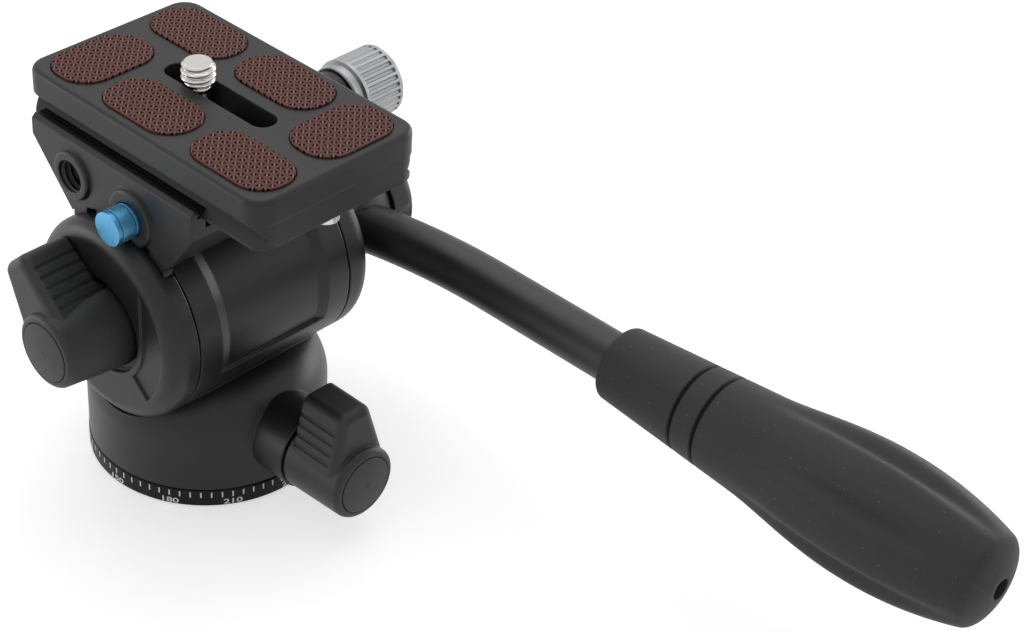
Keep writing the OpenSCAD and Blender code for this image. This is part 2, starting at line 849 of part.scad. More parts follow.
// The six pads: two across the ends and four along the sides
module pad_places(shrink) {
    corner = pad_corner - shrink/2;
    end_x = plate_w/2 - pad_margin - pad_end_w/2;
    end_y = plate_l/2 - pad_margin - pad_end_l/2;
    side_place = plate_w/2 - pad_margin - pad_side_w/2;
    for (turn = [0, 180]) rotate(turn) {
        translate([-end_x, end_y]) round_rect(pad_end_w - shrink, pad_end_l - shrink, corner);
        translate([side_place, plate_l/2 - pad_margin - pad_side_l/2]) {
            round_rect(pad_side_w - shrink, pad_side_l - shrink, corner);
        }
        translate([-side_place, end_y - pad_end_l/2 - pad_gap - pad_side_l/2]) {
            round_rect(pad_side_w - shrink, pad_side_l - shrink, corner);
        }
    }
}

// Lower half of the plate, with a groove along each side for the jaws
module dovetail() intersection() {
    along_y(-plate_l/2, plate_l/2) for (s = [0, 1]) mirror([s, 0]) polygon([
        [0, 0], [dove_half - dove_lip, 0], [dove_half, dove_lip],
        [dove_half - dove_in, dove_lip + dove_in], [dove_half, dove_lip + 2*dove_in],
        [dove_half, web_z - seam_line], [dove_half - seam_line, web_z],
        [dove_half - seam_line, web_z + seam_line], [0, web_z + seam_line]
    ]);
    linear_extrude(plate_t) round_rect(2*dove_half, plate_l - 0.4, plate_corner - 0.2);
}

module qr_plate() color(grey) at_plate() difference() {
    union() {
        dovetail();
        translate([0, 0, web_z]) round_slab(plate_w, plate_l, plate_t - web_z, plate_corner, edge_round);
    }
    translate([0, 0, -over]) linear_extrude(plate_t + 2*over) slot_shape(slot_w, slot_end);
    translate([0, 0, -over]) linear_extrude(web_under + over) {
        slot_shape(2*head_room_r, slot_end - slot_w/2 + head_room_r);
    }
    translate([0, 0, plate_t - pocket_depth]) linear_extrude(over) pad_places(0);
    for (s = [-1, 1]) translate([0, s*stop_place, -over]) {
        cylinder(r = stop_thread_r + seat, h = stop_thread_l + 0.2 + over);
    }
}

module plate_pads() color(maroon) at_plate() translate([0, 0, plate_t - pocket_depth + seat]) {
    linear_extrude(pocket_depth + pad_rise) pad_places(0.3);
}

// Screw under the plate that keeps it from sliding out of the clamp
module stop_screw() difference() {
    union() {
        translate([0, 0, -stop_drop]) cylinder(r = stop_r, h = stop_drop);
        cylinder(r = stop_thread_r, h = stop_thread_l);
    }
    translate([0, 0, -stop_drop - over]) cylinder(r = stop_hex_r, h = over + 1.4, $fn = 6);
}

module plate_stop_screws() color(steel) at_plate() {
    for (s = [-1, 1]) translate([0, s*stop_place, 0]) stop_screw();
}

module at_screw() translate([0, camera_screw_y, plate_z]) children();

module camera_screw() color(steel) at_screw() difference() {
    top = plate_t + screw_height;
    thread = camera_thread_d/2;
    union() {
        translate([0, 0, 0.9]) cylinder(r = head_room_r - 0.5, h = web_under - 1.6);
        translate([0, 0, 0.9]) cylinder(r = neck_r, h = plate_t);
        translate([0, 0, plate_t + 0.2]) cylinder(r = thread, h = screw_height - 0.8);
        translate([0, 0, top - 0.6]) cylinder(r1 = thread, r2 = thread - 0.6, h = 0.6);
    }
    translate([-0.8, -head_room_r, 0]) cube([1.6, 2*head_room_r, 2.2]);
}

module screw_washer() color(steel) at_screw() {
    ring(head_room_r - 0.7, neck_r + 0.1, web_under - 0.6, web_under - 0.1);
}

// Handle

module handle_hub() color(black) difference() {
    xcyl(hub_r, hub_x0, hub_x0 + hub_w, 0, tilt_z);
    xcyl(bolt_r + fit, hub_x0 - over, hub_x0 + hub_w + over, 0, tilt_z);
    tube_path(tube_r + seat);
}

// The tube's course at the height of the tilt axis, as a solid of radius r
module tube_path(r) {
    translate([bend_mid[0], bend_mid[1], tilt_z]) rotate_extrude(angle = tube_angle, $fn = 256) {
        translate([tube_bend_r, 0]) circle(r);
    }
    ycyl(r, -grip_y - grip_bore + 0.5, bend_end, tube_x, tilt_z);
}

module handle_tube() color(black) difference() {
    tube_path(tube_r);
    ycyl(tube_r - tube_wall, -grip_y - grip_bore, -grip_y, tube_x, tilt_z);
}

// Half cross-section of the grip: a cone that swells into a barrel with a domed end
module grip_profile() {
    polygon([
        [0, 0], [grip_front_r - grip_edge, 0], [grip_front_r, grip_edge],
        [grip_cone_r, grip_cone_l], [0, grip_cone_l]
    ]);
    intersection() {
        translate([grip_r - barrel_front_r, barrel_peak]) circle(barrel_front_r, $fn = 256);
        translate([0, grip_cone_l - 8]) square([grip_r, barrel_peak - grip_cone_l + 8]);
    }
    intersection() {
        translate([grip_r - barrel_rear_r, barrel_peak]) circle(barrel_rear_r, $fn = 256);
        translate([0, grip_l - grip_dome_r]) circle(grip_dome_r, $fn = 128);
        translate([0, barrel_peak]) square([grip_r, grip_l - barrel_peak]);
    }
}

module grip() color(black) translate([tube_x, -grip_y, tilt_z]) rotate([90, 0, 0]) difference() {
    rotate_extrude($fn = 96) grip_profile();
    // Two ring grooves
    for (along = grip_grooves) {
        here_r = grip_front_r + (grip_cone_r - grip_front_r)*along/grip_cone_l;
        translate([0, 0, along]) rotate_extrude($fn = 96) {
            translate([here_r + 0.1, 0]) circle(grip_groove_r, $fn = 24);
        }
    }
    // Long shallow valleys between the grip's lobes
    for (i = [1 : valley_count]) rotate(i*360/valley_count + valley_turn) {
        translate([grip_r - valley_depth + valley_r, 0, barrel_peak + 2]) rotate([0, -valley_tilt, 0]) {
            cylinder(r = valley_r, h = grip_l, center = true);
        }
    }
    translate([0, 0, -over]) cylinder(r = tube_r + seat, h = grip_bore + over);
    translate([0, 0, grip_l - grip_hole_l]) cylinder(r = grip_hole_r, h = grip_hole_l + over);
}

module handle_knob() color(black) translate([handle_knob_x, 0, tilt_z]) rotate([0, 90, 0]) difference() {
    disc(handle_knob_r, handle_knob_w, handle_knob_round);
    for (i = [1 : notch_count]) rotate(i*360/notch_count) {
        translate([handle_knob_r + notch_out, 0, -over]) cylinder(r = notch_r, h = handle_knob_w + 2*over);
    }
    translate([0, 0, -over]) cylinder(r = bolt_r + seat, h = handle_knob_w - 1.5 + over);
}

module handle_bolt() color(steel) {
    xcyl(bolt_r, arm_out + arm_boss + 0.1, handle_knob_x + handle_knob_w - 1.7, 0, tilt_z);
    xcyl(stud_r, bolt_reach, arm_out + over, 0, tilt_z);
}

base_plate();
scale_ring();
tripod_bush();
pan_spindle();
pan_nut();
base_screws();
pan_housing();
pan_washer();
pan_drag_ring();
pan_brake_shoe();
drum_cover();
tilt_bushes();
pan_knob();
pan_knob_cap();
pan_stud();
left_tilt_arm();
right_tilt_arm();
clamp_body();
arm_screws();
tilt_axle();
damper_rotor();
guide_pins();
tilt_knob();
tilt_knob_cap();
tilt_knob_nut();
moving_jaw();
clamp_knob();
clamp_screw();
clamp_washer();
safety_button();
safety_catch();
button_spring();
qr_plate();
plate_pads();
plate_stop_screws();
camera_screw();
screw_washer();
handle_hub();
handle_tube();
grip();
handle_knob();
handle_bolt();
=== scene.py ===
"""Looks of the fluid video head: materials, degree scale, threads, plate, grip, camera and studio."""

import json
import math

import bmesh
import bpy
from mathutils import Matrix, Vector


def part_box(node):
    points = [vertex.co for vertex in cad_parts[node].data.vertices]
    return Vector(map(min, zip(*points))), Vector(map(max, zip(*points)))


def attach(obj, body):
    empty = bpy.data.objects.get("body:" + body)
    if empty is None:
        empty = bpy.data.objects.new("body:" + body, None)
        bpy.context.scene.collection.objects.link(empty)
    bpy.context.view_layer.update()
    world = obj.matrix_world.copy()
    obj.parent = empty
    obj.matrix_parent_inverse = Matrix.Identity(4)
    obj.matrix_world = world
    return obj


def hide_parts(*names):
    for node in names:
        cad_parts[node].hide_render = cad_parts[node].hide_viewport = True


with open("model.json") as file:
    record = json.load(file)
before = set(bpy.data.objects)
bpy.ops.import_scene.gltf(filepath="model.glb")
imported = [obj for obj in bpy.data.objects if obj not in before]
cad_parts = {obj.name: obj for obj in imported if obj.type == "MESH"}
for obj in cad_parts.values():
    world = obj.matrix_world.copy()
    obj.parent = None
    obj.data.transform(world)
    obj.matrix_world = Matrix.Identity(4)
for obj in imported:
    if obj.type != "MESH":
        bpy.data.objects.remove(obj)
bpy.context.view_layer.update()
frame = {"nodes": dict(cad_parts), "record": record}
nodes = frame["nodes"]
MM = 0.001


# Shader building blocks

def new_material(name):
    """An empty node material with its shader."""
    mat = bpy.data.materials.new(name)
    mat.use_nodes = True
    tree = mat.node_tree
    return mat, tree, tree.nodes["Principled BSDF"]


def add(tree, kind, **values):
    """A node with its inputs, given by name, or its properties set."""
    node = tree.nodes.new(kind)
    for key, value in values.items():
        if key in node.inputs:
            node.inputs[key].default_value = value
        else:
            setattr(node, key, value)
    return node


def math_node(tree, operation, a, b=None):
    """A math node on two sockets or numbers."""
    node = add(tree, "ShaderNodeMath", operation=operation)
    for socket, value in zip(node.inputs, (a, b)):
        if isinstance(value, (int, float)):
            socket.default_value = value
        elif value is not None:
            tree.links.new(value, socket)
    return node.outputs[0]


def object_coords(tree):
    """Coordinates in the piece's own space, in metres."""
    return add(tree, "ShaderNodeTexCoord").outputs["Object"]


def noise(tree, coords, scale, detail=3.0, rough=0.55):
    """Value of a noise with that many cells to the metre."""
    node = add(tree, "ShaderNodeTexNoise", Scale=scale, Detail=detail, Roughness=rough)
    tree.links.new(coords, node.inputs["Vector"])
    return node.outputs["Fac"]


def spread(tree, value, low, high, start=0.3, end=0.7):
    """A value's stretch from start to end, carried over to low to high."""
    node = add(tree, "ShaderNodeMapRange")
    for socket, number in zip(node.inputs[1:5], (start, end, low, high)):
        socket.default_value = number
    tree.links.new(value, node.inputs[0])
    return node.outputs[0]


def tint(tree, value, dark, light):
    """A colour that goes from dark to light with a value."""
    ramp = add(tree, "ShaderNodeValToRGB")
    ramp.color_ramp.elements[0].color = (*dark, 1)
    ramp.color_ramp.elements[1].color = (*light, 1)
    tree.links.new(value, ramp.inputs[0])
    return ramp.outputs[0]


def bump_of(tree, height, strength, distance):
    """A bump from a height value."""
    node = add(tree, "ShaderNodeBump", Strength=strength, Distance=distance)
    tree.links.new(height, node.inputs["Height"])
    return node


def soft_edges(tree, shader, radius, bump):
    """Rounds the sharp edges of a piece by a small radius, under its bump."""
    bevel = add(tree, "ShaderNodeBevel", samples=6, Radius=radius)
    tree.links.new(bevel.outputs[0], bump.inputs["Normal"])
    tree.links.new(bump.outputs[0], shader.inputs["Normal"])


def grained(name, color, roughness, spec, grain, grain_size, edge):
    """Coated or moulded surface: fine grain, slow changes of colour and gloss."""
    color_change = 0.12
    gloss_change = 0.03
    patches_per_metre = 90.0
    bump_strength = 0.25*grain
    mat, tree, shader = new_material(name)
    coords = object_coords(tree)
    fine = noise(tree, coords, 1/grain_size, detail=2.0)
    slow = noise(tree, coords, patches_per_metre, detail=4.0)
    dark = [c*(1 - color_change) for c in color]
    light = [c*(1 + color_change) for c in color]
    gloss = spread(tree, slow, roughness - gloss_change, roughness + gloss_change)
    tree.links.new(tint(tree, slow, dark, light), shader.inputs["Base Color"])
    tree.links.new(gloss, shader.inputs["Roughness"])
    shader.inputs["Specular IOR Level"].default_value = spec
    soft_edges(tree, shader, edge, bump_of(tree, fine, bump_strength, grain_size))
    return mat


def turned(name, color, roughness, axis, metallic=1.0):
    """Lathe-turned metal: fine rings along an axis, light scratches, and painted shade that darkens the
    colour in narrow cavities.
    """
    ring_pitch = 0.18*MM
    scratches_per_metre = 1500.0
    scratch_shade = 0.93
    smoother = 0.04
    rougher = 0.06
    painted_shade_reach = 0.5*MM
    edge = 0.15*MM
    bump_strength = 0.12
    mat, tree, shader = new_material(name)
    coords = object_coords(tree)
    split = add(tree, "ShaderNodeSeparateXYZ")
    tree.links.new(coords, split.inputs[0])
    along = math_node(tree, "MULTIPLY", split.outputs[axis], 2*math.pi/ring_pitch)
    rings = math_node(tree, "SINE", along)
    scratches = noise(tree, coords, scratches_per_metre)
    height = math_node(tree, "ADD", rings, scratches)
    dark = [c*scratch_shade for c in color]
    # Ambient occlusion darkens the base colour in narrow cavities: painted shade.
    painted_cavity_shade = add(tree, "ShaderNodeAmbientOcclusion", samples=8, Distance=painted_shade_reach)
    gloss = spread(tree, scratches, roughness - smoother, roughness + rougher)
    tree.links.new(tint(tree, scratches, dark, color), painted_cavity_shade.inputs["Color"])
    tree.links.new(painted_cavity_shade.outputs["Color"], shader.inputs["Base Color"])
    tree.links.new(gloss, shader.inputs["Roughness"])
    shader.inputs["Metallic"].default_value = metallic
    soft_edges(tree, shader, edge, bump_of(tree, height, bump_strength, ring_pitch))
    return mat


def pad_rubber():
    """Brown rubber: square cells of low walls, each with a ridge across its pit, the pits painted dark as
    shade and the ridges painted light as a highlight.
    """
    pitch = 1.55*MM
    cell_middle = 0.5
    wall_start = 0.25
    wall_slope = 0.12
    wall_level = 0.55
    ridge_half = 0.06
    ridge_foot = 0.22
    grains_per_metre = 6000.0
    grain_height = 0.15
    ridge_gloss = 0.4
    pit_painted_shade = (0.022, 0.005, 0.004, 1)
    wall_color = (0.105, 0.036, 0.028, 1)
    ridge_painted_highlight = (0.245, 0.120, 0.102, 1)
    mat, tree, shader = new_material("pad_rubber")
    coords = object_coords(tree)
    split = add(tree, "ShaderNodeSeparateXYZ")
    tree.links.new(coords, split.inputs[0])
    cells = [math_node(tree, "MULTIPLY", split.outputs[axis], 1/pitch) for axis in (0, 1)]
    across, along = [math_node(tree, "FRACT", cell) for cell in cells]
    from_middle = [math_node(tree, "SUBTRACT", place, cell_middle) for place in (across, along)]
    off_middle = math_node(tree, "MAXIMUM", *[math_node(tree, "ABSOLUTE", way) for way in from_middle])
    wall = spread(tree, off_middle, 0.0, wall_level, wall_start, wall_start + wall_slope)
    off_diagonal = math_node(tree, "ABSOLUTE", math_node(tree, "SUBTRACT", across, along))
    ridge = spread(tree, off_diagonal, 1.0, 0.0, ridge_half, ridge_foot)
    inside = spread(tree, wall, 1.0, 0.0, 0.0, wall_level)
    height = math_node(tree, "MAXIMUM", wall, math_node(tree, "MULTIPLY", ridge, inside))
    grain = noise(tree, coords, grains_per_metre, detail=2.0)
    rough_height = math_node(tree, "ADD", height, math_node(tree, "MULTIPLY", grain, grain_height))
    # Colour follows the height: the pits get painted shade, the ridges a painted highlight, the walls a
    # brown in between.
    ramp = add(tree, "ShaderNodeValToRGB")
    ramp.color_ramp.elements[0].color = pit_painted_shade
    ramp.color_ramp.elements[1].color = ridge_painted_highlight
    ramp.color_ramp.elements.new(wall_level).color = wall_color
    tree.links.new(height, ramp.inputs[0])
    tree.links.new(ramp.outputs[0], shader.inputs["Base Color"])
    tree.links.new(spread(tree, height, 0.0, ridge_gloss, 0.0, 1.0), shader.inputs["Specular IOR Level"])
    shader.inputs["Roughness"].default_value = 0.55
    soft_edges(tree, shader, 0.1*MM, bump_of(tree, rough_height, strength=0.8, distance=0.3*MM))
    return mat


def add_specks(mat, spacing, radius, share, color):
    """Sparse pale specks, as dust on rubber: a share of all the cells of a pattern has one."""
    tree = mat.node_tree
    base = tree.nodes["Principled BSDF"].inputs["Base Color"]
    cells = add(tree, "ShaderNodeTexVoronoi", Scale=1/spacing)
    tree.links.new(object_coords(tree), cells.inputs["Vector"])
    near = math_node(tree, "LESS_THAN", cells.outputs["Distance"], radius/spacing)
    chosen = math_node(tree, "LESS_THAN", cells.outputs["Color"], share)
    mix = add(tree, "ShaderNodeMixRGB", Color2=(*color, 1))
    tree.links.new(math_node(tree, "MULTIPLY", near, chosen), mix.inputs["Fac"])
    tree.links.new(base.links[0].from_socket, mix.inputs["Color1"])
    tree.links.new(mix.outputs[0], base)


def flat_paint(name, color):
    """Printed marks, a little uneven."""
    grains_per_metre = 4000.0
    grain_shade = 0.85
    mat, tree, shader = new_material(name)
    grain = noise(tree, object_coords(tree), grains_per_metre)
    dark = [c*grain_shade for c in color]
    tree.links.new(tint(tree, grain, dark, color), shader.inputs["Base Color"])
    shader.inputs["Roughness"].default_value = 0.6
    return mat


# Materials of the record's slots

BLACK = (0.0075, 0.0075, 0.0077)
black_satin = grained("black_satin", BLACK, 0.40, 0.38, 0.7, 0.22*MM, 0.5*MM)
black_ring = grained("black_ring", BLACK, 0.42, 0.16, 0.4, 0.12*MM, 0.05*MM)
grey_plate = grained("grey_plate", (0.016, 0.0165, 0.0163), 0.45, 0.33, 0.5, 0.10*MM, 0.4*MM)
knob_plastic = grained("knob_plastic", BLACK, 0.45, 0.44, 0.9, 0.16*MM, 0.5*MM)
grip_rubber = grained("grip_rubber", (0.017, 0.017, 0.0172), 0.66, 0.45, 0.8, 0.20*MM, 0.1*MM)
tube_black = grained("tube_black", BLACK, 0.45, 0.55, 0.2, 0.12*MM, 0.2*MM)
add_specks(grip_rubber, spacing=1.2*MM, radius=0.11*MM, share=0.45, color=(0.10, 0.10, 0.10))
blue_anodised = turned("blue_anodised", (0.13, 0.48, 0.80), 0.30, axis=0, metallic=0.8)
silver_aluminium = turned("silver_aluminium", (0.36, 0.365, 0.37), 0.36, axis=0)
bright_metal = turned("bright_metal", (0.62, 0.60, 0.58), 0.14, axis=2)
plain_steel = turned("plain_steel", (0.52, 0.52, 0.53), 0.35, axis=0)
damper_aluminium = turned("damper_aluminium", (0.55, 0.55, 0.56), 0.38, axis=0)
bearing_brass = turned("bearing_brass", (0.62, 0.43, 0.17), 0.30, axis=2)
white_paint = flat_paint("white_paint", (0.95, 0.95, 0.93))

slot_material = {
    "black_satin": black_satin, "black_ring": black_ring, "grey_plate": grey_plate,
    "pad_rubber": pad_rubber(), "knob_plastic": knob_plastic, "silver_aluminium": silver_aluminium,
    "bright_metal": bright_metal, "plain_steel": plain_steel, "damper_aluminium": damper_aluminium,
    "bearing_brass": bearing_brass, "blue_anodised": blue_anodised, "tube_black": tube_black,
    "grip_rubber": grip_rubber,
}
for part in frame["record"]["subparts"]:
    mesh = nodes[part["node"]].data
    mesh.materials.clear()
    mesh.materials.append(slot_material[part["material_slot"]])


# Helpers for added pieces

def mesh_piece(name, bm, material, body):
    """Turns a bmesh into a piece that moves with a body."""
    mesh = bpy.data.meshes.new(name)
    bm.to_mesh(mesh)
    bm.free()
    mesh.materials.append(material)
    piece = bpy.data.objects.new(name, mesh)
    bpy.context.scene.collection.objects.link(piece)
    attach(piece, body)
    return piece


def wrap_on_ring(point, radius, bearing):
    """Puts a flat mark's point (across, up) on the ring, its middle at a compass bearing."""
    angle = bearing + point[0]/radius
    return Vector((radius*math.cos(angle), radius*math.sin(angle), point[1]))


# Degree scale round the base

CAMERA_PLACE = Vector((-236.326, -280.926, 296.734))*MM
CAMERA_READING = 199.5
TICK_STEP = 5
NUMBER_STEP = 30
MARK_LIFT = 0.02*MM
ring_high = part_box("scale_ring")[1]
ring_r = ring_high[0] + MARK_LIFT
ring_top = ring_high[2]


def bearing_of(degrees):
    """Bearing on the ring of a reading in degrees."""
    camera_bearing = math.atan2(CAMERA_PLACE.y, CAMERA_PLACE.x)
    return camera_bearing + math.radians(degrees - CAMERA_READING)


def scale_ticks():
    """White lines down from just under the ring's upper edge."""
    half = 0.14*MM
    length = 1.25*MM
    top = ring_top - 0.3*MM
    low = top - length
    bm = bmesh.new()
    for degrees in range(0, 360, TICK_STEP):
        corners = [(-half, top), (-half, low), (half, low), (half, top)]
        bm.faces.new([bm.verts.new(wrap_on_ring(c, ring_r, bearing_of(degrees))) for c in corners])
    mesh_piece("scale_ticks", bm, white_paint, "base")


def scale_numbers():
    """Plain numbers, bold and wide, wrapped on the ring under the ticks."""
    size = 1.6*MM
    stretch = 1.55
    bold = 0.03*MM
    low = ring_top - 3.2*MM
    bm = bmesh.new()
    for degrees in range(0, 360, NUMBER_STEP):
        text = bpy.data.curves.new("number", "FONT")
        text.body = str(degrees)
        text.size = size
        text.offset = bold
        text.align_x = "CENTER"
        holder = bpy.data.objects.new("number", text)
        flat = holder.to_mesh()
        places = [(stretch*v.co.x, v.co.y + low) for v in flat.vertices]
        verts = [bm.verts.new(wrap_on_ring(p, ring_r, bearing_of(degrees))) for p in places]
        for face in flat.polygons:
            bm.faces.new([verts[i] for i in face.vertices])
        holder.to_mesh_clear()
        bpy.data.objects.remove(holder)
    mesh_piece("scale_numbers", bm, white_paint, "base")


scale_ticks()
scale_numbers()


# Screw threads

INCH = 25.4*MM
QUARTER_INCH_PITCH = INCH/20
QUARTER_INCH_DEPTH = 0.62*MM
THREE_EIGHTHS_PITCH = INCH/16
THREE_EIGHTHS_DEPTH = 0.80*MM


def mount_of(name):
    """A mount of the record."""
    return next(m for m in frame["record"]["mounts"] if m["name"] == name)


def add_thread(bm, place, length, root, crest, pitch, capped):
    """A right-hand thread's skin along the local Z of a place, fading out at both ends."""
    around = 64
    rings_per_turn = 10
    flank_gain = 1.35
    root_flat = 0.15
    along = round(rings_per_turn*length/pitch)
    fade = 0.5*pitch
    rings = []
    for i in range(along + 1):
        height = length*i/along
        ring = []
        for j in range(around):
            turn = j/around
            phase = (height/pitch - turn) % 1.0
            wave = 1 - abs(2*phase - 1)
            rise = min(1.0, max(0.0, flank_gain*wave - root_flat))
            rise *= min(1.0, height/fade, (length - height)/fade)
            radius = root + (crest - root)*rise
            angle = 2*math.pi*turn
            local = Vector((radius*math.cos(angle), radius*math.sin(angle), height))
            ring.append(bm.verts.new(place @ local))
        rings.append(ring)
    for low, high in zip(rings, rings[1:]):
        for j in range(around):
            k = (j + 1) % around
            bm.faces.new((low[j], low[k], high[k], high[j])).smooth = True
    if capped:
        bm.faces.new(reversed(rings[0]))
        bm.faces.new(rings[-1])


def camera_screw():
    """The camera screw: its CAD shape in the plate, and its thread from the slot upward."""
    low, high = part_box("camera_screw")
    plate_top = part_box("qr_plate")[1][2]
    start = plate_top - 1.2*MM
    step = plate_top + 0.1*MM
    slot_clear_r = 2.5*MM
    crest = mount_of("camera_thread")["dims"]["r_mm"]*MM
    middle = Vector(((low[0] + high[0])/2, (low[1] + high[1])/2, 0))
    bm = bmesh.new()
    bm.from_mesh(nodes["camera_screw"].data)
    bm.transform(nodes["camera_screw"].matrix_world)
    everything = bm.verts[:] + bm.edges[:] + bm.faces[:]
    cut = middle + Vector((0, 0, start))
    bmesh.ops.bisect_plane(bm, geom=everything, plane_co=cut, plane_no=(0, 0, 1), clear_outer=True)
    for bottom, top, outer in ((start, step, slot_clear_r), (step, high[2], crest)):
        place = Matrix.Translation(middle + Vector((0, 0, bottom)))
        add_thread(bm, place, top - bottom, outer - QUARTER_INCH_DEPTH, outer, QUARTER_INCH_PITCH, True)
    piece = mesh_piece("threaded_camera_screw", bm, bright_metal, "screw")
    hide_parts("camera_screw")


def hole_thread(name, mount_name, pitch, depth, material, body):
    """Thread inside a hole of the record, a little short of both its ends."""
    short = 0.4*MM
    into_wall = 0.05*MM
    mount = mount_of(mount_name)
    radius = mount["dims"]["r_mm"]*MM
    length = mount["dims"]["length_mm"]*MM - 2*short
    inward = -Vector(mount["axis"])
    mouth = Vector(mount["pos_m"]) + short*inward
    place = Matrix.Translation(mouth) @ inward.to_track_quat("Z", "Y").to_matrix().to_4x4()
    bm = bmesh.new()
    add_thread(bm, place, length, radius + into_wall, radius - depth, pitch, False)
    bmesh.ops.reverse_faces(bm, faces=bm.faces[:])
    mesh_piece(name, bm, material, body)


camera_screw()
hole_thread("accessory_hole_thread", "accessory_thread", QUARTER_INCH_PITCH, QUARTER_INCH_DEPTH,
            black_satin, "tilt")
hole_thread("tripod_hole_thread", "tripod_thread", THREE_EIGHTHS_PITCH, THREE_EIGHTHS_DEPTH,
            bearing_brass, "base")


# Plate with its full dovetail groove

def prism(outline, start, end):
    """An outline of (x, z) points, drawn out along Y."""
    bm = bmesh.new()
    ends = [[bm.verts.new((x, y, z)) for x, z in outline] for y in (start, end)]
    for i in range(len(outline)):
        j = (i + 1) % len(outline)
        bm.faces.new((ends[0][i], ends[0][j], ends[1][j], ends[1][i]))
    for ring in ends:
        bm.faces.new(ring)
    bmesh.ops.recalc_face_normals(bm, faces=bm.faces[:])
    mesh = bpy.data.meshes.new("prism")
    bm.to_mesh(mesh)
    bm.free()
    block = bpy.data.objects.new("prism", mesh)
    bpy.context.scene.collection.objects.link(block)
    return block


def dovetail_slope(side):
    """The lower slope of the groove on one side, from the plate's underside inward, as (x, z) points."""
    low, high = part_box("qr_plate")
    depth = 2.25*MM
    foot_inset = 0.65*MM
    foot = high[0] - foot_inset
    return [(side*foot, low[2]), (side*(foot - depth), low[2] + depth)]


def grooved_plate():
    """The CAD plate with a 45 degree groove cut along both sides, up to its upper step."""
    low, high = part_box("qr_plate")
    groove_top = 4.95*MM
    over = 1*MM
    same_place = 0.001*MM
    shelf = low[2] + groove_top
    bm = bmesh.new()
    bm.from_mesh(nodes["qr_plate"].data)
    bmesh.ops.remove_doubles(bm, verts=bm.verts[:], dist=same_place)
    piece = mesh_piece("grooved_plate", bm, grey_plate, "plate")
    cutters = []
    for side in (-1, 1):
        foot, apex = dovetail_slope(side)
        edge = apex[0] + side*(shelf - apex[1])
        beyond = side*(high[0] + over)
        below = low[2] - over
        outline = [(beyond, shelf), (edge, shelf), apex, foot, (foot[0], below), (beyond, below)]
        cutters.append(prism(outline, low[1] - over, high[1] + over))
        groove = piece.modifiers.new("groove", "BOOLEAN")
        groove.object = cutters[-1]
    shaped = piece.evaluated_get(bpy.context.evaluated_depsgraph_get())
    cut_mesh = bpy.data.meshes.new_from_object(shaped)
    piece.modifiers.clear()
    piece.data = cut_mesh
    for cutter in cutters:
        bpy.data.objects.remove(cutter)
    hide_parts("qr_plate")


def jaw_lip(name, side, body):
    """The tip of a jaw, which reaches into the plate's groove."""
    low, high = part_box("moving_jaw")
    clear = 0.2*MM
    hair = 0.02*MM
    root = side*(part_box("qr_plate")[1][0] + clear)
    foot, apex = dovetail_slope(side)
    top = high[2] - hair
    bottom = foot[1] + 2*clear
    tip = (foot[0] + side*(clear - top + foot[1]), top)
    heel = (foot[0] + side*(clear - bottom + foot[1]), bottom)
    lip = prism([(root, top), tip, heel, (root, bottom)], low[1] + hair, high[1] - hair)
    lip.name = name
    lip.data.materials.append(black_satin)
    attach(lip, body)


grooved_plate()
jaw_lip("fixed_jaw_lip", -1, "tilt")
jaw_lip("moving_jaw_lip", 1, "jaw")


# Soft grip

GRIP_CONE = (7.2*MM, 10.2*MM, 41*MM)
GRIP_FRONT_ARC = 83*MM
GRIP_REAR_ARC = 72*MM
GRIP_PEAK_TO_END = 24.9*MM
GRIP_DOME_R = 18*MM
GRIP_BLEND = 1.4*MM
GRIP_ROUND = 1.1*MM
GRIP_GROOVES = (18.7*MM, 24.1*MM)
GRIP_GROOVE_HALF = 0.5*MM
GRIP_GROOVE_DEPTH = 1.1*MM
GRIP_VALLEYS = 6
GRIP_VALLEY_TURN = math.radians(22)
GRIP_VALLEY_DEPTH = 1.6*MM
GRIP_VALLEY_SPAN = (30*MM, 81*MM)
GRIP_VALLEY_LEAN = 1.2
GRIP_VALLEY_NARROW = 4
GRIP_HOLE = (2*MM, 7*MM)


def blend_max(a, b):
    """The larger of two lengths, with a soft change from one to the other."""
    share = min(1.0, max(0.0, 0.5 + 0.5*(a - b)/GRIP_BLEND))
    return b + (a - b)*share + GRIP_BLEND*share*(1 - share)


def grip_radius(along, length, widest):
    """Radius over the lobes: a cone that swells into a barrel with a domed end."""
    peak = length - GRIP_PEAK_TO_END
    if along < peak:
        front_r, cone_r, cone_l = GRIP_CONE
        cone = front_r + (cone_r - front_r)*along/cone_l
        barrel = widest - GRIP_FRONT_ARC + math.sqrt(GRIP_FRONT_ARC**2 - (along - peak)**2)
        radius = min(widest, blend_max(cone, barrel))
    else:
        barrel = widest - GRIP_REAR_ARC + math.sqrt(GRIP_REAR_ARC**2 - (along - peak)**2)
        dome = math.sqrt(max(0.0, GRIP_DOME_R**2 - (along - length + GRIP_DOME_R)**2))
        radius = -blend_max(-barrel, -dome)
    for middle in GRIP_GROOVES:
        off = abs(along - middle)/GRIP_GROOVE_HALF
        if off < 1:
            radius -= GRIP_GROOVE_DEPTH*math.sqrt(1 - off**2)
    if along < GRIP_ROUND:
        radius -= GRIP_ROUND - math.sqrt(GRIP_ROUND**2 - (GRIP_ROUND - along)**2)
    return radius


def valley_drop(along, angle):
    """How far the surface sinks between two lobes."""
    start, end = GRIP_VALLEY_SPAN
    if not start < along < end:
        return 0.0
    part = (along - start)/(end - start)
    swell = math.sin(math.pi*part**GRIP_VALLEY_LEAN)**GRIP_VALLEY_LEAN
    across = (0.5 + 0.5*math.cos(GRIP_VALLEYS*(angle - GRIP_VALLEY_TURN)))**GRIP_VALLEY_NARROW
    return GRIP_VALLEY_DEPTH*swell*across


